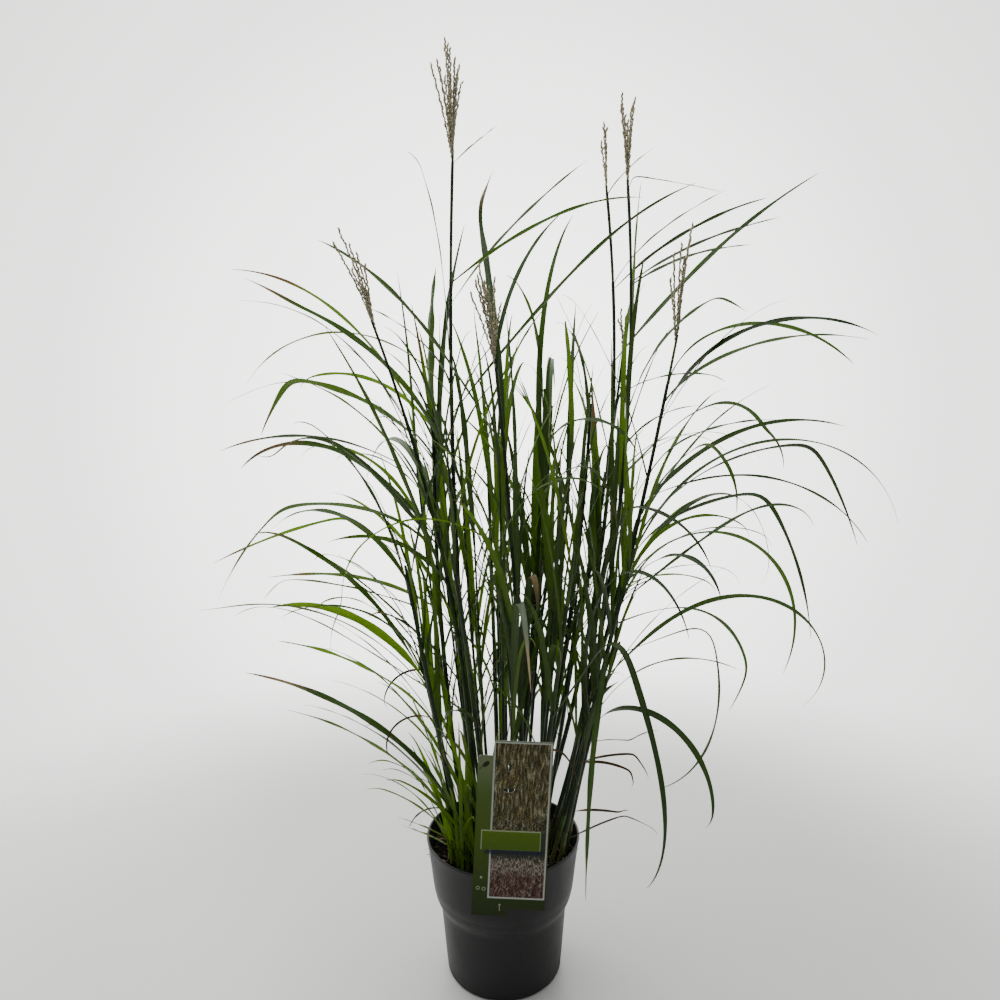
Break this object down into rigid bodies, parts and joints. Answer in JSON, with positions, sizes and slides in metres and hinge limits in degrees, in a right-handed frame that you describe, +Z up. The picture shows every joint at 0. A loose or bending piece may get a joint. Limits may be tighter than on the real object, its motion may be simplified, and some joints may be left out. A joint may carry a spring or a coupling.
{
  "type": "potted ornamental grass clump",
  "caption": "Tall miscanthus grass clump with arching blades and upright flower plumes, growing in a round tapered nursery pot with a printed plant label.",
  "frame": {"origin": "centre of the pot's foot, on the surface that it stands on", "axes": "+Z up along the pot's axis; -Y is the side with the plant label; +X is to the right seen from the label's side"},
  "size_m": [1.04, 0.9063, 1.2477],
  "materials": {
    "pot_plastic": "moulded dark grey plastic, dusty satin",
    "peat": "crumbly peat and bark, matte",
    "printed_card": "thin printed plastic card",
    "flowering_culm": "dark green to black-green stem, satin",
    "leafy_culm": "mid green sheathed stem, satin",
    "blade": "green grass blade with a pale midrib, satin",
    "plume": "straw and purple-brown flower head, matte"
  },
  "bodies": {
    "root": {"pot": "pot_plastic", "soil": "peat", "plant_label": "printed_card", "flowering_culm_1": "flowering_culm", "flowering_culm_2": "flowering_culm", "flowering_culm_3": "flowering_culm", "flowering_culm_4": "flowering_culm", "flowering_culm_5": "flowering_culm", "flowering_culm_6": "flowering_culm", "flowering_culm_7": "flowering_culm", "plume_1": "plume", "plume_2": "plume", "plume_3": "plume", "plume_4": "plume", "plume_5": "plume", "plume_6": "plume", "plume_7": "plume", "leafy_culm_01": "leafy_culm", "leafy_culm_02": "leafy_culm", "leafy_culm_03": "leafy_culm", "leafy_culm_04": "leafy_culm", "leafy_culm_05": "leafy_culm", "leafy_culm_06": "leafy_culm", "leafy_culm_07": "leafy_culm", "leafy_culm_08": "leafy_culm", "leafy_culm_09": "leafy_culm", "leafy_culm_10": "leafy_culm", "leafy_culm_11": "leafy_culm", "leafy_culm_12": "leafy_culm", "leafy_culm_13": "leafy_culm", "leaf_01": "blade", "leaf_02": "blade", "leaf_03": "blade", "leaf_04": "blade", "leaf_05": "blade", "leaf_06": "blade", "leaf_07": "blade", "leaf_08": "blade", "leaf_09": "blade", "leaf_10": "blade", "leaf_11": "blade", "leaf_12": "blade", "leaf_13": "blade", "leaf_14": "blade", "leaf_15": "blade", "leaf_16": "blade", "leaf_17": "blade", "leaf_18": "blade", "leaf_19": "blade", "leaf_20": "blade", "leaf_21": "blade", "leaf_22": "blade", "leaf_23": "blade", "leaf_24": "blade", "leaf_25": "blade", "leaf_26": "blade", "leaf_27": "blade", "leaf_28": "blade", "leaf_29": "blade", "leaf_30": "blade"}
  },
  "joints": []
}
